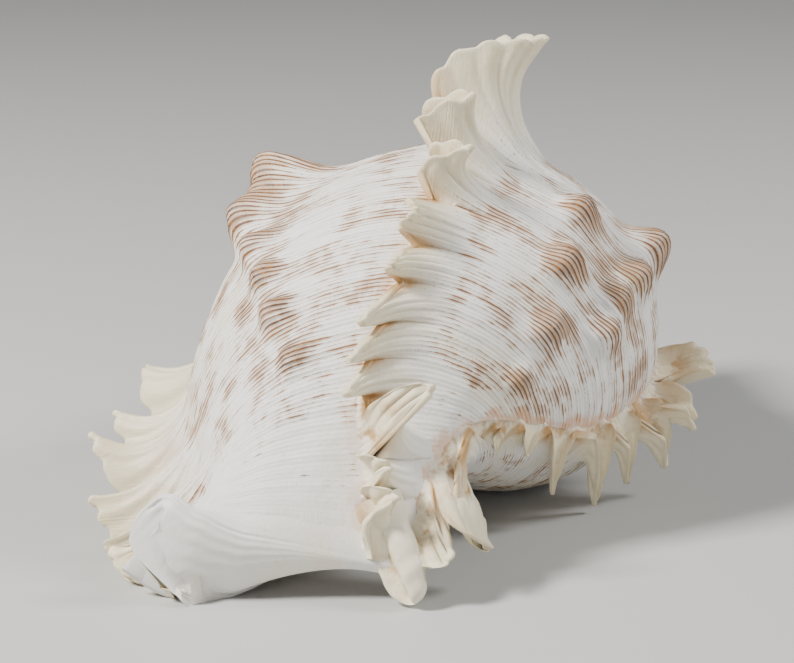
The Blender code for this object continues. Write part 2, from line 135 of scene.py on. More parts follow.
# Relief
THREADS = 144              # fine spiral cords from the suture to the canal's tip
CORDS = 48                 # stronger cords, one in three
THREAD_RELIEF = 0.13
CORD_RELIEF = 0.18
FROND_RIDGE = 0.45
WALL_WAVES = 9
WAVE_RELIEF = 0.16
SCALLOP = 0.018
TEETH = 76

# Mesh
COLUMNS = 720
SEGMENT_ROWS = (70, 62, 84)
RAMP_ROWS = 24
FRONT_ROWS = 12
FRONT_OVERLAP = 1.2        # how far a stretch of whorl starts under the varix before it
SPIRE_COLUMNS = 300
SPIRE_STEP = 8.0           # degrees of growth between rows
SPIRE_OVERLAP = 13.0       # degrees that the spire runs on under the last whorl
CANAL_ROWS = 260
WALL_COLUMNS = 40
SHOULDER_COLUMNS = 12
FLOOR_COLUMNS = 16
CALLUS_LIFT = 1.5
BLUNT_ROWS = 24
BLUNT_ARC = (0.4, 2.6)
BLUNT_PUSH = (-0.7, -0.7, 0)
OLD_CANAL_ROWS = 72
OLD_CANAL_COLUMNS = 64

# Values kept on every point for the colours
MARKS = (
    "growth", "fraction", "knob", "hollow", "varix", "valley", "since", "gloss", "wall")

# Camera, from the photograph
PHOTO_SIZE = (794, 663)
VIEW_CENTRE = (439.7, 366.2)
FOCAL_PIXELS = 2544.0
CAMERA_DISTANCE = 514.0
CAMERA_AZIMUTH = 18.5
CAMERA_HEIGHT = 16.2
AIM_ALONG_AXIS = -85.0


def curve(points, x):
    """A smooth curve through rows of (place, value, ...), read at x."""
    table = np.array(points, float)
    place, value = table[:, 0], table[:, 1:]
    x = np.clip(np.asarray(x, float), place[0], place[-1])
    index = np.clip(np.searchsorted(place, x, side="right") - 1, 0, len(place) - 2)
    step = np.diff(place)
    slope = np.diff(value, axis=0) / step[:, None]
    tangent = np.vstack([slope[:1], (slope[:-1] + slope[1:]) / 2, slope[-1:]])
    t = ((x - place[index]) / step[index])[..., None]
    width = step[index][..., None]
    result = (2*t**3 - 3*t**2 + 1) * value[index] + (t**3 - 2*t**2 + t) * width * tangent[index]
    result += (3*t**2 - 2*t**3) * value[index + 1] + (t**3 - t**2) * width * tangent[index + 1]
    return result[..., 0] if result.shape[-1] == 1 else result


def ease(x, start, end):
    """0 before start, 1 after end, smooth between."""
    t = np.clip((x - start) / (end - start), 0, 1)
    return t * t * (3 - 2 * t)


def unit(vectors):
    return vectors / (np.linalg.norm(vectors, axis=-1, keepdims=True) + 1e-12)


def ripple(x, seed):
    """A smooth, uneven wave between about -1 and 1."""
    total = np.zeros_like(np.asarray(x, float))
    for k in range(1, 5):
        total = total + np.sin(x * (0.71 + 0.53 * k) + seed * (1.7 + k) + 0.9 * k * k)
    return total / 3


def even_outline(samples=400):
    """The outline at the lip, resampled to even steps, and its length."""
    points = np.array(OUTLINE, float)
    chord = np.r_[0, np.cumsum(np.linalg.norm(np.diff(points, axis=0), axis=1))]
    fine = curve(np.column_stack([chord, points]), np.linspace(0, chord[-1], 4 * samples))
    length = np.r_[0, np.cumsum(np.linalg.norm(np.diff(fine, axis=0), axis=1))]
    even = np.linspace(0, length[-1], samples)
    return np.interp(even, length, fine[:, 0]), np.interp(even, length, fine[:, 1]), length[-1]


OUTLINE_RADIUS, OUTLINE_HEIGHT, OUTLINE_LENGTH = even_outline()
OUTLINE_FRACTION = np.linspace(0, 1, len(OUTLINE_RADIUS))


def whorl_scale(growth):
    return WHORL_GROWTH ** (growth / 360.0)


def around(angle, radius, height):
    """A point at an angle round the axis."""
    angle = np.radians(angle)
    return np.stack([radius * np.cos(angle), height, radius * np.sin(angle)], -1)


def surface(growth, fraction):
    """The bare shell surface without knobs or varices."""
    scale = whorl_scale(growth)
    radius = np.interp(fraction, OUTLINE_FRACTION, OUTLINE_RADIUS) * scale
    height = np.interp(fraction, OUTLINE_FRACTION, OUTLINE_HEIGHT) * scale
    waist = ease(fraction, 0, 0.2) * (1 - ease(fraction, 0.7, 1))
    radius = radius * (1 + (curve(GIRTH, growth) - 1) * waist)
    bend = (np.clip(fraction - CANAL_FROM, 0, None) / (1 - CANAL_FROM)) ** CANAL_CURVE
    return around(LIP_ANGLE + growth, radius, height) + curve(CANAL_BEND, growth) * bend[..., None]


def frame_at(growth, fraction):
    """Growth, outline and outward directions, and millimetres per degree of growth."""
    d_growth, d_fraction = 0.25, 0.004
    along = surface(growth + d_growth, fraction) - surface(growth - d_growth, fraction)
    down = surface(growth, np.minimum(fraction + d_fraction, 1))
    down = down - surface(growth, np.maximum(fraction - d_fraction, 0))
    speed = np.maximum(np.linalg.norm(along, axis=-1) / (2 * d_growth), 0.12)
    along = unit(along)
    down = unit(down - (down * along).sum(-1, keepdims=True) * along)
    return along, down, np.cross(along, down), speed


def knob_fields(growth, fraction):
    """Height of the knobs and how much a point belongs to one."""
    height = np.zeros(np.broadcast(growth, fraction).shape)
    near = np.zeros_like(height)
    for angle, place, size in KNOBS:
        scale = whorl_scale(angle)
        across = (fraction - place) * OUTLINE_LENGTH * scale / (0.4 * size + 2.2)
        reach = np.interp(place, OUTLINE_FRACTION, OUTLINE_RADIUS) * scale * math.radians(1)
        ahead = (growth - angle) * reach
        spread = np.where(ahead > 0, 0.3 * size + 1.5, 0.4 * size + 3)
        height = height + size * np.exp(-across**2) * np.exp(-(ahead / spread) ** 2)
        near = np.maximum(near, np.exp(-across**2) * np.exp(-(ahead / (spread + 1)) ** 2))
    return height, near


def frond_edge(fronds, fraction, scale, seed):
    """Where a varix edge stands: ahead of its foot, above it and along it, with its ramp."""
    place = fraction * OUTLINE_LENGTH * scale
    above = np.full_like(fraction, VARIX_RIDGE)
    ahead = np.zeros_like(fraction)
    sideways = np.zeros_like(fraction)
    share = np.zeros_like(fraction)
    ramp = np.full_like(fraction, VARIX_RAMP)
    tooth = np.cos(2 * math.pi * TEETH * fraction) + 0.5 * ripple(fraction * 170, seed)
    tooth = tooth + 0.6 * ripple(fraction * 320, seed + 3)
    for middle, half_width, length, sweep, side, lean, *shape in fronds:
        fan, skew = (*shape, *(FROND_FAN, 0)[len(shape):])
        across = (place - middle * OUTLINE_LENGTH * scale) / half_width
        inside = np.abs(across) < 1
        off = np.abs(across[inside])
        rise = (1 - off**fan) ** 0.8
        sweep = math.radians(sweep)
        reach = length + (SCALLOP * length + 0.25) * tooth[inside] * ease(half_width, 2.5, 4.5)
        side = side * (1 + 0.8 * skew * across[inside])
        above[inside] = VARIX_RIDGE * (1 - rise) + reach * math.cos(sweep) * rise
        ahead[inside] = -math.sin(sweep) * reach * rise**1.3 + side * reach * 4 * off**2 * (1 - off**2)
        sideways[inside] = lean * rise - half_width * across[inside] * FROND_TAPER * np.sqrt(rise)
        ramp[inside] = VARIX_RAMP + 0.35 * length * rise
        share[inside] = rise
    fade = ease(fraction, 0, 0.1)
    return ahead * fade, above * fade, sideways * fade, ramp, share


def bezier(a, b, c, d, t):
    return (1-t)**3 * a + 3 * (1-t)**2 * t * b + 3 * (1-t) * t**2 * c + t**3 * d


def varix_rows(line, fronds, scale, fraction, seed):
    """Rows up the ramp, over the edge and down the hollow front, with marks for the colours."""
    front = curve(line, fraction)
    speed = frame_at(front, fraction)[3]
    foot = front - VARIX_FRONT / speed
    ahead, above, sideways, ramp, share = frond_edge(fronds, fraction, scale, seed)
    start = foot - np.minimum(ramp / speed, 60)
    along, down, outward, _ = frame_at(foot, fraction)
    base = surface(foot, fraction)
    zero = np.zeros_like(ramp)
    edge = np.stack([ahead, above, sideways], -1)
    thick = np.minimum(FROND_EDGE, 0.5 * above + 0.3)
    toe = VARIX_FRONT + 1.6 + 0.7 * ripple(fraction * 95, seed) + 0.4 * ripple(fraction * 240, seed + 1)
    back_path = (
        np.stack([-ramp, zero, zero], -1),
        np.stack([-0.45 * ramp, zero, zero], -1),
        np.stack([0.4 * np.maximum(ahead, 0) + 0.05 * np.minimum(ahead, 0), 0.6 * above, 0.4 * sideways], -1),
        edge)
    front_path = (
        edge + np.stack([thick, -0.15 * thick, zero], -1),
        back_path[2] + np.stack([thick + 0.5, zero, zero], -1),
        np.stack([1 - 0.3 * ramp * share, 0.1 * above, 0.1 * sideways], -1),
        np.stack([toe, zero - 0.8, zero], -1))

    def stand(local, lift):
        """From edge measures to the shell: bent over the surface low down, straight higher up."""
        growth = foot + np.clip(local[:, 0], -60, 60) / speed
        _, low_down, low_out, _ = frame_at(growth, fraction)
        low = surface(growth, fraction) + low_out * local[:, 1:2] + low_down * local[:, 2:3]
        high = base + along * local[:, 0:1] + outward * local[:, 1:2] + down * local[:, 2:3]
        return (1 - lift) * low + lift * high

    rows, marks = [], []

    def add(local, lift, hollow, climb):
        rows.append(stand(local, lift))
        growth = foot + np.clip(local[:, 0], -40, 40) / speed
        valley = (1 - ease(share, 0.15, 0.9)) * ease(climb, 0.2, 0.8)
        marks.append((growth, climb * share, hollow * share, valley, np.full_like(share, climb)))

    for t in np.linspace(0, 1, RAMP_ROWS + 1)[1:]:
        add(bezier(*back_path, t), t**2, 0.0, t)
    for turn in (0.25, 0.5, 0.75):
        round_over = edge * (1 - turn) + front_path[0] * turn
        round_over = round_over + np.stack([zero, 0.5 * thick * math.sin(math.pi * turn), zero], -1)
        add(round_over, 1.0, 0.3 * turn, 1.0)
    for t in np.linspace(0, 1, FRONT_ROWS + 1):
        add(bezier(*front_path, t), 1 - t, float(ease(t, 0, 0.5)), 1 - t)
    return rows, marks, start, front


def cord_relief(growth, fraction):
    """Threads and cords with uneven strength."""
    thread = 0.5 + 0.5 * np.cos(2 * math.pi * THREADS * fraction)
    cord = 0.5 + 0.5 * np.cos(2 * math.pi * CORDS * fraction)
    strength = 1 + 0.35 * ripple(fraction * 61, 3.1) + 0.15 * ripple(growth * 0.05 + fraction * 40, 1.3)
    fade = ease(fraction, 0.0, 0.04) * (1 - ease(fraction, 0.985, 1.0))
    fade = fade * (1 - 0.7 * ease(fraction, 0.7, 0.95))
    return fade * strength * (THREAD_RELIEF * thread**0.7 + CORD_RELIEF * cord)


def growth_relief(growth, fraction):
    """Shallow growth lines and slow unevenness."""
    lines = ripple(growth * 2.3 + 3 * fraction, 5.0) * ripple(growth * 0.4, 2.0)
    slow = ripple(growth * 0.11 + 9 * fraction, 7.0) * ripple(fraction * 23, 4.0)
    return (0.06 * lines + 0.22 * slow) * (1 - ease(fraction, 0.985, 1.0))


class Sheet:
    """A grid of points with relief and marks, which becomes one piece of the shell."""

    def __init__(self):
        self.rows, self.relief = [], []
        self.marks = {name: [] for name in MARKS}

    def add(self, row, relief, **marks):
        self.rows.append(row)
        self.relief.append(np.broadcast_to(relief, row.shape[:1]))
        for name in MARKS:
            self.marks[name].append(np.broadcast_to(marks.get(name, 0.0), row.shape[:1]))

    def grid(self):
        points = np.array(self.rows)
        out = unit(np.cross(np.gradient(points, axis=0), np.gradient(points, axis=1)))
        return points + out * np.array(self.relief)[..., None]


def placed(points):
    """From the shell's own frame to the table, in metres."""
    tilt = math.radians(AXIS_TILT)
    x, y, z = points[..., 0], points[..., 1], points[..., 2]
    moved = np.stack([
        x + APEX_AT[0],
        y * math.cos(tilt) - z * math.sin(tilt) + APEX_AT[1],
        y * math.sin(tilt) + z * math.cos(tilt) + APEX_AT[2]], -1)
    for axis in range(3):
        low, high = CAD_BOX[0][axis] / MM, CAD_BOX[1][axis] / MM
        over = moved[..., axis] - high + TIP_ROOM
        moved[..., axis] = np.where(
            over > 0, high - TIP_ROOM * np.exp(-np.maximum(over, 0) / TIP_ROOM), moved[..., axis])
        under = low + TIP_ROOM - moved[..., axis]
        if axis < 2:
            moved[..., axis] = np.where(
                under > 0, low + TIP_ROOM * np.exp(-np.maximum(under, 0) / TIP_ROOM), moved[..., axis])
    moved[..., 2] = np.maximum(moved[..., 2], 0)
    return moved * MM


PIECES = []


def piece_from_grid(name, points, marks, closed=False):
    """One visible mesh from a grid of points, with a float mark on each point."""
    count, width = points.shape[:2]
    index = np.arange(count * width).reshape(count, width)
    if closed:
        index = np.hstack([index, index[:, :1]])
    faces = np.stack([index[:-1, :-1], index[1:, :-1], index[1:, 1:], index[:-1, 1:]], -1)
    mesh = bpy.data.meshes.new(name)
    mesh.from_pydata(placed(points).reshape(-1, 3).tolist(), [], faces.reshape(-1, 4).tolist())
    for mark in MARKS:
        values = np.zeros(count * width, np.float32)
        values[:] = np.array(marks[mark], np.float32).reshape(-1)
        mesh.attributes.new(mark, "FLOAT", "POINT").data.foreach_set("value", values)
    mesh.shade_smooth()
    mesh.update()
    shape = bpy.data.objects.new(name, mesh)
    bpy.context.scene.collection.objects.link(shape)
    PIECES.append(shape)
    return shape


def tucked(sheet, share):
    """The sheet with its suture edge carried on towards the axis, inside the older whorl."""
    grid = sheet.grid()
    edge = grid[:, :1] * np.array([share, 1.0, share])
    marks = {key: np.array(value) for key, value in sheet.marks.items()}
    marks = {key: np.hstack([value[:, :1], value]) for key, value in marks.items()}
    return np.concatenate([edge, grid], axis=1), marks


def whorl_pieces():
    """The last whorl in three pieces, each from behind one varix to the front of the next."""
    fraction = np.linspace(0, 1, COLUMNS)
    previous = np.full_like(fraction, LAST_WHORL_START)
    varices = [
        (LOWER_LINE, LOWER_FRONDS, -215), (MIDDLE_LINE, MIDDLE_FRONDS, -118), (LIP_LINE, LIP_FRONDS, 0)]
    names = ("shell_whorl_right", "shell_whorl_middle", "shell_whorl_left")
    for number, (line, fronds, middle) in enumerate(varices):
        scale = whorl_scale(middle)
        rows, marks, start, front = varix_rows(line, fronds, scale, fraction, 1.7 * number)
        start = np.maximum(start, previous + 2)
        speed = frame_at(previous, fraction)[3]
        sheet = Sheet()
        count = SEGMENT_ROWS[number]
        for k in range(count + 1):
            growth = previous + (start - previous) * k / count
            knob, near = knob_fields(growth, fraction)
            out = frame_at(growth, fraction)[2]
            since = (growth - previous) * speed
            settle = ease(since, 0.0, 2.5) if number else 1.0
            relief = cord_relief(growth, fraction) * (1 + 0.8 * near) + growth_relief(growth, fraction)
            sheet.add(
                surface(growth, fraction) + out * knob[:, None], relief * settle,
                growth=growth, fraction=fraction, knob=near, since=since if number else 99.0)
        for row, (growth, climb, hollow, valley, whole) in zip(rows, marks):
            ridge = FROND_RIDGE * np.abs(np.cos(math.pi * TEETH * fraction)) * climb
            cords = cord_relief(growth, fraction) * (1 - 0.5 * climb) + growth_relief(growth, fraction)
            keep = 1 - ease(whole, 0.85, 1.0) * 0.6
            sheet.add(
                row, (cords + ridge) * keep * (1 - 0.8 * hollow), growth=growth, fraction=fraction,
                hollow=hollow, varix=ease(whole, 0.0, 0.9), valley=valley, since=99.0)
        piece_from_grid(names[number], *tucked(sheet, 0.8))
        previous = front - FRONT_OVERLAP / frame_at(front, fraction)[3]
    return rows[-1], fraction


def spire_piece():
    """The older whorls down to the suture, with a low spine at each old varix's shoulder."""
    fraction = np.linspace(0, 0.56, SPIRE_COLUMNS)
    sheet = Sheet()
    growth = LAST_WHORL_START - 360 * SPIRE_TURNS
    while growth < LAST_WHORL_START + SPIRE_OVERLAP:
        angles = np.full_like(fraction, growth)
        turn = ((growth - LAST_WHORL_START + 25) % SPIRE_VARIX_STEP) / SPIRE_VARIX_STEP
        clear = 1 - float(ease(growth, LAST_WHORL_START - 25, LAST_WHORL_START))
        near = math.exp(-((turn - 0.5) / 0.1) ** 2) * clear
        spine = SPIRE_SPINE * whorl_scale(growth) * near
        height = spine * np.exp(-((fraction - 0.27) / 0.05) ** 2)
        scale = whorl_scale(growth)
        relief = (cord_relief(angles, fraction) + growth_relief(angles, fraction)) * min(1, 1.6 * scale)
        sheet.add(
            surface(angles, fraction) + frame_at(angles, fraction)[2] * height[:, None], relief,
            growth=angles, fraction=fraction, knob=0.6 * near * np.exp(-((fraction - 0.3) / 0.12) ** 2),
            varix=0.35 * near, since=99.0)
        growth += SPIRE_STEP
    piece_from_grid("shell_spire", *tucked(sheet, 0.0))


def callus_edge(fraction):
    angle, radius, height = curve(CALLUS_EDGE, fraction).T
    return around(LIP_ANGLE + angle, radius, height)


def mouth_piece(lip, fraction):
    """Ventral face: from the lip into the mouth and the canal's slit, and out to the callus."""
    callus = callus_edge(fraction)
    reach = (fraction - MOUTH_MIDDLE[0]) / MOUTH_HALF[0]
    mouth = MOUTH_HALF[1] * np.sqrt(np.clip(1 - reach**2, 0, None))
    half = np.maximum(mouth, SLIT_HALF * ease(fraction, 0.5, 0.66))
    half = np.maximum(half * (1 - ease(fraction, 0.92, 0.975)), 0.01)
    is_mouth = ease(mouth, 0.02, 0.16)
    outer = lip + (callus - lip) * (MOUTH_MIDDLE[1] - half)[:, None]
    inner = lip + (callus - lip) * (MOUTH_MIDDLE[1] + half)[:, None]
    centre = (outer + inner) / 2
    below = np.array([0.0, 0.0, -1.0])
    keys = [lip, 0.5 * (lip + outer) + below * 0.8, 0.1 * lip + 0.9 * outer + below * 0.6]
    walls = []
    for depth in (0.02, 0.08, 0.2, 0.4, 0.65, 1):
        turn = -depth * MOUTH_TURN * is_mouth
        sink = SLIT_DEPTH * min(1, 2 * depth) * (1 - is_mouth)
        sides = []
        for side in (outer, inner):
            point = centre + (side - centre) * (1 - 0.55 * depth)
            spin, scale = np.radians(turn), whorl_scale(turn)
            x = point[:, 0] * np.cos(spin) - point[:, 2] * np.sin(spin)
            z = point[:, 0] * np.sin(spin) + point[:, 2] * np.cos(spin)
            moved = np.stack([x, point[:, 1], z], -1) * scale[:, None]
            moved[:, 2] += sink
            sides.append(moved)
        walls.append(sides)
    keys += [side[0] for side in walls]
    keys += [0.5 * (walls[-1][0] + walls[-1][1])]
    keys += [side[1] for side in walls[::-1]]
    keys += [0.1 * callus + 0.9 * inner + below * 0.6, 0.5 * (inner + callus) + below * 0.8, callus]
    table = np.column_stack([np.arange(len(keys)), np.array(keys).reshape(len(keys), -1)])
    places = np.linspace(0, len(keys) - 1, 5 * (len(keys) - 1) + 1)
    rows = curve(table, places).reshape(len(places), -1, 3)
    sheet = Sheet()
    for place, row in zip(places, rows):
        teeth = 0.45 * math.exp(-((place - 2.3) / 0.6) ** 2) * np.abs(np.sin(math.pi * 34 * fraction))
        inside = float(ease(place, 0.5, 2.5) * (1 - ease(place, len(keys) - 2.2, len(keys) - 1)))
        sheet.add(
            row, teeth * is_mouth, growth=20.0 + place, fraction=fraction, since=99.0,
            gloss=0.35 + 0.65 * inside, hollow=0.15 * is_mouth)
    piece_from_grid("shell_mouth", sheet.grid(), sheet.marks)


def canal_rows(growth, share):
    """Top, bottom and callus points of the canal floor at one growth angle."""
    one = np.array([1.0])
    at = np.array([growth])
    top = surface(at, one)[0]
    _, slope, _, _ = frame_at(at, one)
    along = unit(surface(at + 3, one)[0] - surface(at - 3, one)[0])
    down = np.array([0.0, -0.12, -1.0])
    down = unit(down - along * (down @ along))
    out = np.cross(along, down)
    wall = float(ease((growth - WALL_START) / (WALL_END - WALL_START), 0, 0.75))
    height = WALL_HEIGHT[0] + WALL_HEIGHT[1] * wall
    callus = callus_edge(np.array([FLOOR_CALLUS_FROM + (1 - FLOOR_CALLUS_FROM) * share]))[0]
    callus[2] += CALLUS_LIFT
    return top, slope[0], down, out, wall, height, callus


def canal_piece():
    """Side wall of the canal, the floor behind it and the blunt end of the canal."""
    sheet = Sheet()
    angles = np.linspace(FLOOR_START, WALL_END, CANAL_ROWS)
    steps = np.linspace(0, 1, WALL_COLUMNS)[:, None]
    turn = steps[SHOULDER_COLUMNS]
    floor = np.linspace(0, 1, FLOOR_COLUMNS)[1:, None]
    for growth in angles:
        share = (growth - FLOOR_START) / (WALL_END - FLOOR_START)
        top, slope, down, out, wall, height, callus = canal_rows(growth, share)
        bottom = top + down * height
        at = np.array([growth])
        begin = surface(at, np.array([ROLL_FROM]))[0] - frame_at(at, np.array([ROLL_FROM]))[2][0] * 0.5
        lift = frame_at(at, np.array([1.0]))[2][0]
        roll = 0.25 + 0.75 * wall
        crown = top + (lift * 1.3 + out * 0.5) * roll
        shoulder = bezier(
            begin,
            begin + (crown - begin) * 0.4 + lift * 1.6 * roll,
            crown - slope * 0.6 + lift * 0.5 * roll,
            crown,
            steps[:SHOULDER_COLUMNS] / turn)
        side = bezier(
            crown,
            crown + slope * 1.2 + out * 1.2 * roll,
            top + down * height * 0.55 + out * WALL_BULGE * wall * 1.8,
            bottom,
            steps[SHOULDER_COLUMNS:] * (1 / (1 - turn)) - turn / (1 - turn))
        side = np.vstack([shoulder, side])
        under = bottom + (callus - bottom) * floor
        under = under + np.array([0, 0, 3.5 * (1 - wall)]) * np.sin(math.pi * floor)
        row = np.vstack([side, under])
        level = np.r_[steps[:, 0], np.ones(len(floor))]
        bend = 1.1 * float(ripple(growth * 0.05, 2.0)) + 0.5 * float(ripple(growth * 0.16, 4.0))
        waves = WAVE_RELIEF * np.sin(2 * math.pi * WALL_WAVES * level + bend)
        slow = 0.3 * ripple(level * 3 + growth * 0.04, 3.0)
        inside = np.sin(math.pi * np.clip(level, 0, 1))
        sheet.add(
            row, (waves + slow) * wall * inside, growth=growth, fraction=1.0, since=99.0,
            wall=0.2 + 0.8 * level, gloss=0.2)
    grid = sheet.grid()
    piece_from_grid("shell_canal", grid, sheet.marks)
    rim = surface(np.linspace(WALL_END, LIP_LINE[-1][1], WALL_COLUMNS), np.ones(WALL_COLUMNS))
    edge = grid[-1, :WALL_COLUMNS]
    arc = np.sin(np.linspace(*BLUNT_ARC, WALL_COLUMNS))[:, None]
    blunt = Sheet()
    callus = callus_edge(np.array([1.0]))[0] + np.array([0, 0, CALLUS_LIFT])
    for t in np.linspace(0, 1, BLUNT_ROWS):
        crown = BLUNT_CROWN * math.sqrt(max(0.0, math.sin(math.pi * t))) * arc
        face = edge + (rim - edge) * t + np.array(BLUNT_PUSH) * crown
        under = face[-1] + (callus - face[-1]) * np.linspace(0, 1, 12)[1:, None]
        blunt.add(np.vstack([face, under]), 0.0, growth=10.0, fraction=1.0, since=99.0, wall=1.0, gloss=0.4)
    piece_from_grid("shell_canal_end", blunt.grid(), blunt.marks)


def old_canal_piece():
    """The end of the middle varix's canal, a grooved tongue beside the new canal."""
    start = surface(np.array([OLD_CANAL_FROM[0]]), np.array([OLD_CANAL_FROM[1]]))[0]
    tip = np.array(OLD_CANAL_TIP)
    along = unit(tip - start)
    side = unit(np.cross(along, np.array([0, 1.0, 0.2])))
    up = unit(np.cross(side, along))
    turn = np.linspace(0, 2 * math.pi, OLD_CANAL_COLUMNS, endpoint=False)
    sheet = Sheet()
    for share in np.linspace(0, 1, OLD_CANAL_ROWS):
        narrow = math.sqrt(max(0.0, 1 - float(np.clip((share - 0.72) / 0.28, 0, 1)) ** 2.2))
        groove = 2.6 * np.exp(-((turn - GROOVE_SIDE) / 0.42) ** 2) * ease(share, 0.1, 0.4)
        swell = 1.15 - 0.25 * share + 0.06 * ripple(share * 9 + 0.6 * np.cos(turn), 2.0)
        across = np.cos(turn) * OLD_CANAL_HALF[0] * narrow * swell
        lift = np.sin(turn) * OLD_CANAL_HALF[1] * narrow * swell + groove * narrow
        ring = side * across[:, None] + up * lift[:, None]
        uneven = 0.09 * ripple(share * 14 + 1.5 * np.cos(turn), 1.0) * narrow
        sheet.add(
            start + (tip - start) * share + ring, uneven,
            growth=-100.0, fraction=0.95, since=99.0, varix=0.8, gloss=0.15,
            hollow=0.9 * np.exp(-((turn - GROOVE_SIDE) / 0.6) ** 2))
    piece_from_grid("shell_old_canal", sheet.grid(), sheet.marks, closed=True)


class Graph:
    """Short ways to add shader nodes."""

    def __init__(self, tree):
        self.tree = tree

    def node(self, kind, **settings):
        node = self.tree.nodes.new(kind)
        for key, value in settings.items():
            setattr(node, key, value)
        return node

    def put(self, socket, value):
        if isinstance(value, bpy.types.NodeSocket):
            self.tree.links.new(value, socket)
        else:
            socket.default_value = value

    def math(self, operation, a, b=0.0, c=0.0, clamp=False):
        node = self.node("ShaderNodeMath", operation=operation, use_clamp=clamp)
        for socket, value in zip(node.inputs, (a, b, c)):
            self.put(socket, value)
        return node.outputs[0]

    def mark(self, name):
        return self.node("ShaderNodeAttribute", attribute_name=name).outputs["Fac"]

    def ramp(self, value, low, high):
        """0 below low, 1 above high."""
        node = self.node("ShaderNodeMapRange", interpolation_type="SMOOTHSTEP")
        self.put(node.inputs["Value"], value)
        node.inputs["From Min"].default_value = low
        node.inputs["From Max"].default_value = high
        return node.outputs["Result"]

    def join(self, x, y, z=0.0):
        node = self.node("ShaderNodeCombineXYZ")
        for socket, value in zip(node.inputs, (x, y, z)):
            self.put(socket, value)
        return node.outputs[0]

    def noise(self, vector, scale, detail=2.0, roughness=0.5):
        node = self.node("ShaderNodeTexNoise")
        self.put(node.inputs["Vector"], vector)
        node.inputs["Scale"].default_value = scale
        node.inputs["Detail"].default_value = detail
        node.inputs["Roughness"].default_value = roughness
        return node.outputs["Fac"]

    def mix(self, share, a, b):
        """Colour a where share is 0 and colour b where it is 1."""
        node = self.node("ShaderNodeMix", data_type="RGBA")
        self.put(node.inputs[0], share)
        self.put(node.inputs[6], a)
        self.put(node.inputs[7], b)
        return node.outputs[2]


WHITE = (0.84, 0.82, 0.785, 1)
CREAM = (0.80, 0.69, 0.43, 1)
OCHRE = (0.42, 0.19, 0.02, 1)
TAN = (0.31, 0.125, 0.022, 1)
BROWN = (0.075, 0.018, 0.006, 1)
DARK = (0.010, 0.004, 0.004, 1)
PINK = (0.74, 0.40, 0.21, 1)
BLUSH = (0.60, 0.42, 0.27, 1)
GLOSS_WHITE = (0.80, 0.73, 0.66, 1)


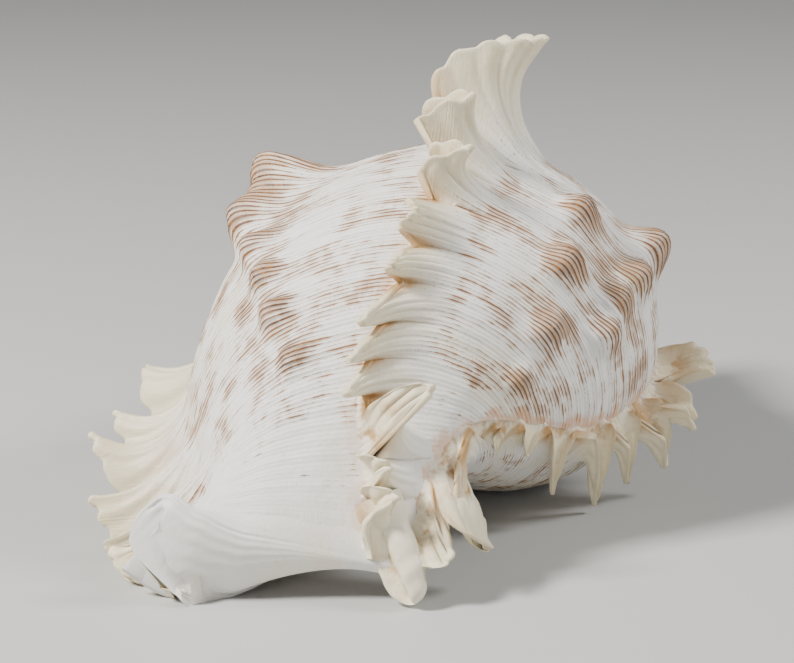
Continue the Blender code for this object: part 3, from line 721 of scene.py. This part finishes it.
def shell_material():
    """White shell with brown lines in its grooves, ochre in the hollows and pink along each varix."""
    material = bpy.data.materials.new("white_shell")
    material.use_nodes = True
    tree = material.node_tree
    graph = Graph(tree)
    shader = tree.nodes["Principled BSDF"]
    calc, mix = graph.math, graph.mix

    growth, fraction = graph.mark("growth"), graph.mark("fraction")
    knob, hollow = graph.mark("knob"), graph.mark("hollow")
    varix, since, gloss = graph.mark("varix"), graph.mark("since"), graph.mark("gloss")
    wall, valley = graph.mark("wall"), graph.mark("valley")
    place = graph.node("ShaderNodeTexCoord").outputs["Object"]

    def across_and_along(along, across, layer):
        """A place for noise, stretched along the growth of the shell."""
        return graph.join(calc("MULTIPLY", growth, along), calc("MULTIPLY", fraction, across), layer)

    # Lines lie in the grooves between the threads
    wobble = graph.noise(across_and_along(0.12, 30.0, 0.0), 1.0)
    lane = calc("ADD", calc("MULTIPLY", fraction, float(THREADS)), calc("MULTIPLY", wobble, 0.5))
    lane = calc("ADD", lane, 0.25)
    near_groove = calc("ABSOLUTE", calc("SUBTRACT", calc("FRACT", lane), 0.5))
    number = calc("FLOOR", lane)
    own = graph.join(calc("MULTIPLY", growth, 0.07), calc("MULTIPLY", number, 7.31), 4.0)
    own = graph.noise(own, 1.0, 2.0)
    dash = graph.join(calc("MULTIPLY", growth, 0.75), calc("MULTIPLY", number, 3.17), 8.0)
    dash = graph.noise(dash, 1.0, 1.0)
    patch = graph.noise(across_and_along(0.085, 18.0, 0.0), 1.0, 3.0, 0.6)
    bands = graph.noise(across_and_along(0.016, 15.0, 9.0), 1.0)

    # Where the lines are strong: patches, the knobs, and less on canal, fronds and mouth
    amount = calc("ADD", patch, calc("MULTIPLY", knob, 0.34))
    amount = calc("ADD", amount, calc("MULTIPLY", calc("SUBTRACT", own, 0.5), 0.6))
    amount = calc("ADD", amount, calc("MULTIPLY", calc("SUBTRACT", bands, 0.5), 0.5))
    amount = calc("SUBTRACT", amount, calc("MULTIPLY", graph.ramp(fraction, 0.72, 0.92), 0.22))
    amount = calc("SUBTRACT", amount, calc("MULTIPLY", graph.ramp(fraction, 0.24, 0.10), 0.10))
    amount = calc("SUBTRACT", amount, calc("MULTIPLY", varix, 0.5))
    amount = calc("SUBTRACT", amount, graph.ramp(gloss, 0.0, 0.3))
    weak = graph.ramp(amount, 0.42, 0.54)
    strong = graph.ramp(amount, 0.50, 0.66)
    very = graph.ramp(amount, 0.64, 0.80)
    half_width = calc("ADD", 0.09, calc("MULTIPLY", strong, 0.11))
    groove = graph.node("ShaderNodeMapRange", interpolation_type="SMOOTHSTEP")
    graph.put(groove.inputs["Value"], calc("SUBTRACT", near_groove, half_width))
    groove.inputs["From Min"].default_value = 0.05
    groove.inputs["From Max"].default_value = -0.05
    groove = groove.outputs["Result"]

    # Ground colour
    stain = graph.noise(place, 55.0, 4.0, 0.6)
    base = mix(calc("MULTIPLY", varix, 0.75), WHITE, CREAM)
    base = mix(calc("MULTIPLY", graph.ramp(stain, 0.50, 0.70), 0.4), base, CREAM)
    base = mix(calc("MULTIPLY", strong, 0.6), base, BLUSH)
    base = mix(calc("MULTIPLY", very, 0.5), base, TAN)

    # A warm wash just behind the outer lip
    warm = calc("MULTIPLY", graph.ramp(growth, -48.0, -14.0), graph.ramp(fraction, 0.82, 0.6))
    cloud = graph.noise(across_and_along(0.06, 11.0, 5.0), 1.0, 3.0)
    warm = calc("MULTIPLY", warm, graph.ramp(cloud, 0.42, 0.62))
    warm = calc("MULTIPLY", warm, calc("SUBTRACT", 1.0, varix, clamp=True))
    base = mix(calc("MULTIPLY", warm, 0.5), base, OCHRE)

    # Lines and short dashes
    colour = mix(strong, TAN, BROWN)
    colour = mix(very, colour, DARK)
    base = mix(calc("MULTIPLY", groove, calc("MULTIPLY", weak, 0.92)), base, colour)
    clean = calc("SUBTRACT", 1.0, calc("MAXIMUM", calc("MAXIMUM", varix, gloss), graph.ramp(wall, 0.0, 0.1)))
    clean = calc("MULTIPLY", clean, graph.ramp(fraction, 0.88, 0.70))
    speckled = calc("MULTIPLY", graph.ramp(dash, 0.55, 0.61), graph.ramp(bands, 0.40, 0.55))
    base = mix(calc("MULTIPLY", calc("MULTIPLY", groove, clean), calc("MULTIPLY", speckled, 0.85)), base, TAN)
    faint = calc("MULTIPLY", graph.ramp(own, 0.35, 0.65), 0.5)
    faint = calc("MULTIPLY", calc("MULTIPLY", groove, clean), faint)
    base = mix(faint, base, TAN)

    # Orange blush along the foot of each varix front, ochre in its roots and hollows
    edge = graph.noise(place, 240.0, 3.0, 0.6)
    reach = calc("ADD", since, calc("MULTIPLY", calc("SUBTRACT", edge, 0.5), 14.0))
    blush = calc("ADD", 0.25, calc("MULTIPLY", graph.ramp(growth, -112.0, -125.0), 0.35))
    base = mix(calc("MULTIPLY", graph.ramp(reach, 4.2, 0.8), blush), base, PINK)
    crumb = graph.noise(place, 130.0, 5.0, 0.65)
    root = calc("MULTIPLY", valley, graph.ramp(crumb, 0.28, 0.52))
    root = calc("MULTIPLY", root, graph.ramp(fraction, 0.97, 0.90))
    base = mix(calc("MULTIPLY", root, 0.85), base, OCHRE)
    base = mix(calc("MULTIPLY", hollow, 0.5), base, CREAM)
    deep = calc("MULTIPLY", hollow, graph.ramp(crumb, 0.46, 0.60))
    base = mix(calc("MULTIPLY", deep, 0.8), base, OCHRE)
    speck = calc("MULTIPLY", graph.ramp(graph.noise(place, 1500.0, 2.0, 0.5), 0.70, 0.74), hollow)
    base = mix(calc("MULTIPLY", speck, 0.6), base, BROWN)
    base = mix(calc("MULTIPLY", gloss, 0.6), base, GLOSS_WHITE)
    graph.put(shader.inputs["Base Color"], base)

    rough = graph.node("ShaderNodeMapRange")
    graph.put(rough.inputs["Value"], gloss)
    rough.inputs["To Min"].default_value = 0.48
    rough.inputs["To Max"].default_value = 0.24
    graph.put(shader.inputs["Roughness"], rough.outputs["Result"])
    shader.inputs["Metallic"].default_value = 0.0

    grain = graph.noise(place, 900.0, 4.0, 0.6)
    fine = graph.noise(across_and_along(3.0, 40.0, 2.0), 1.0, 3.0)
    height = calc("ADD", calc("MULTIPLY", grain, 0.5), calc("MULTIPLY", fine, 0.5))
    bump = graph.node("ShaderNodeBump")
    bump.inputs["Strength"].default_value = 0.5
    bump.inputs["Distance"].default_value = 0.0005
    graph.put(bump.inputs["Height"], height)
    graph.put(shader.inputs["Normal"], bump.outputs["Normal"])
    return material


def add_stage():
    """A flat pale floor, plain studio light and an even sky."""
    mesh = bpy.data.meshes.new("floor")
    size = 3.0
    corners = [(-size, -size, 0), (size, -size, 0), (size, size, 0), (-size, size, 0)]
    mesh.from_pydata(corners, [], [(0, 1, 2, 3)])
    floor = bpy.data.objects.new("floor", mesh)
    bpy.context.scene.collection.objects.link(floor)
    paint = bpy.data.materials.new("floor")
    paint.use_nodes = True
    shader = paint.node_tree.nodes["Principled BSDF"]
    shader.inputs["Base Color"].default_value = (0.50, 0.50, 0.49, 1)
    shader.inputs["Roughness"].default_value = 0.6
    mesh.materials.append(paint)

    world = bpy.data.worlds.new("studio")
    bpy.context.scene.world = world
    world.use_nodes = True
    sky = world.node_tree.nodes["Background"]
    sky.inputs["Color"].default_value = (0.88, 0.90, 0.92, 1)
    sky.inputs["Strength"].default_value = 0.19

    for name, place, power, size, tint in (
            ("key", (-0.45, -0.45, 0.65), 17.0, 0.18, (1.0, 0.975, 0.94)),
            ("right", (0.70, 0.15, 0.60), 6.0, 0.22, (1.0, 0.99, 0.97)),
            ("fill", (0.35, -0.75, 0.25), 1.2, 0.6, (0.92, 0.96, 1.0))):
        lamp = bpy.data.lights.new(name, "AREA")
        lamp.energy = power
        lamp.size = size
        lamp.color = tint
        light = bpy.data.objects.new(name, lamp)
        bpy.context.scene.collection.objects.link(light)
        light.location = place
        aim = Vector(place) - Vector((0, -0.01, 0.04))
        light.rotation_euler = aim.to_track_quat("Z", "Y").to_euler()


def add_camera():
    azimuth, height, tilt = (math.radians(a) for a in (CAMERA_AZIMUTH, CAMERA_HEIGHT, AXIS_TILT))
    back = Vector((
        math.sin(azimuth) * math.cos(height), -math.cos(azimuth) * math.cos(height), math.sin(height)))
    right = Vector((math.cos(azimuth), math.sin(azimuth), 0))
    up = back.cross(right)
    aim = Vector(APEX_AT) + AIM_ALONG_AXIS * Vector((0, math.cos(tilt), math.sin(tilt)))
    data = bpy.data.cameras.new("camera")
    camera = bpy.data.objects.new("camera", data)
    bpy.context.scene.collection.objects.link(camera)
    pose = Matrix((right, up, back)).transposed().to_4x4()
    pose.translation = (aim + back * CAMERA_DISTANCE) * MM
    camera.matrix_world = pose
    data.sensor_width = 36.0
    data.lens = FOCAL_PIXELS / PHOTO_SIZE[0] * 36.0
    data.shift_x = -(VIEW_CENTRE[0] - PHOTO_SIZE[0] / 2) / PHOTO_SIZE[0]
    data.shift_y = (VIEW_CENTRE[1] - PHOTO_SIZE[1] / 2) / PHOTO_SIZE[0]
    data.clip_start = 0.01
    bpy.context.scene.camera = camera


def plain_box(box):
    return [[float(value) for value in corner] for corner in box]


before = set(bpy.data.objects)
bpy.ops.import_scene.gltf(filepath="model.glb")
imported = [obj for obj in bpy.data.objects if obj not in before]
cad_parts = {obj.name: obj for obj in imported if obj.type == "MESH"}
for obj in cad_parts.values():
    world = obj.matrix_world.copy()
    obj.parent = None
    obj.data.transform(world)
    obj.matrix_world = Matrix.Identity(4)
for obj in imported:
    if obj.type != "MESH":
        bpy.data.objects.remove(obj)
CAD_BOX = plain_box(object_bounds())
add_camera()
add_stage()
lip_row, fraction = whorl_pieces()
spire_piece()
mouth_piece(lip_row, fraction)
canal_piece()
old_canal_piece()
material = shell_material()
for piece in PIECES:
    piece.data.materials.append(material)
    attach(piece, "root")
    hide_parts("shell")
